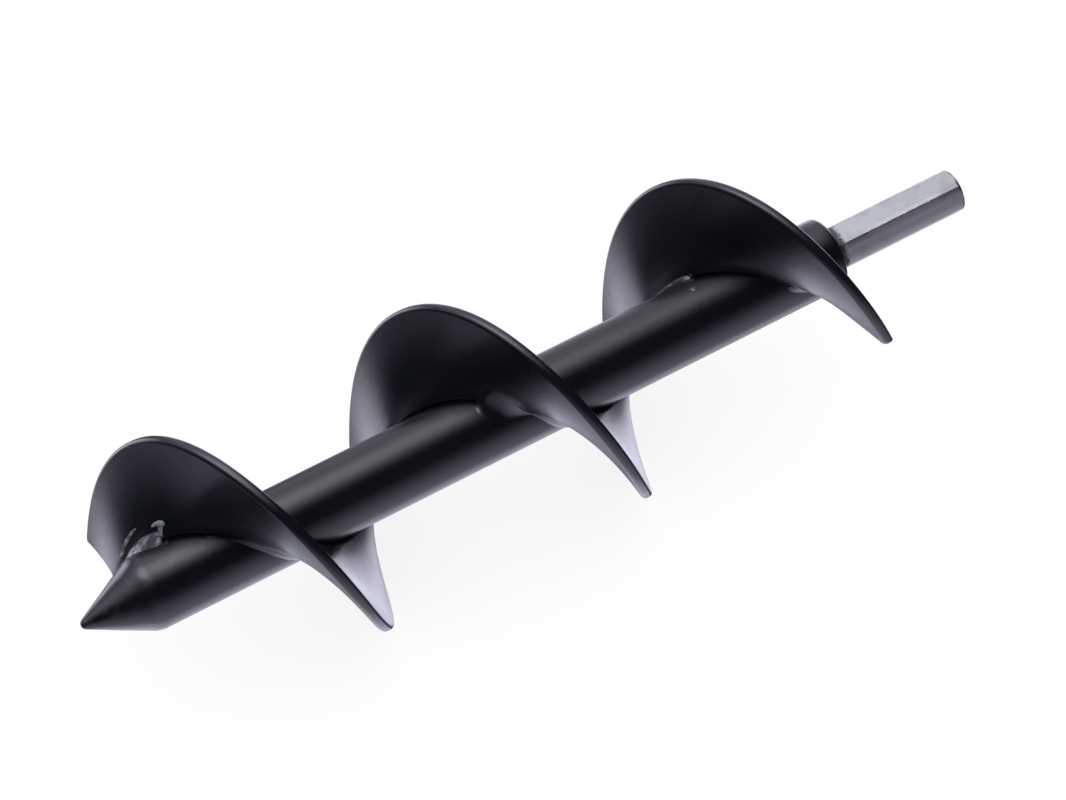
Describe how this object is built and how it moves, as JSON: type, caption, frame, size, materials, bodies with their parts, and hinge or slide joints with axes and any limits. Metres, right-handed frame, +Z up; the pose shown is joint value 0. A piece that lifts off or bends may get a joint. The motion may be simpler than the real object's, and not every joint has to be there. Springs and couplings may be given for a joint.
{
  "type": "spiral auger drill bit",
  "caption": "Pointed steel tube with a right-hand spiral flight and a hexagonal shank, spun by a hand drill to bore into soil or to stir thick mixes",
  "frame": {"origin": "on the bit's axis, at the end face of the shaft tube where the hexagonal shank comes out", "axes": "+X along the bit's axis towards the drill, so the point is at -X; +Z up with the bit held level, and one flat of the shank faces +Z; right-handed"},
  "size_m": [0.184, 0.05, 0.05],
  "materials": {
    "powder_coat": "satin black powder coat",
    "shank_steel": "bare ground steel"
  },
  "bodies": {
    "root": {"shaft_tube": "powder_coat", "cone_point": "powder_coat", "hex_shank": "shank_steel", "spiral_flight": "powder_coat", "point_weld": "powder_coat", "shank_weld": "powder_coat", "tack_welds": "powder_coat", "root_stitches": "powder_coat", "end_weld": "powder_coat"}
  },
  "joints": []
}
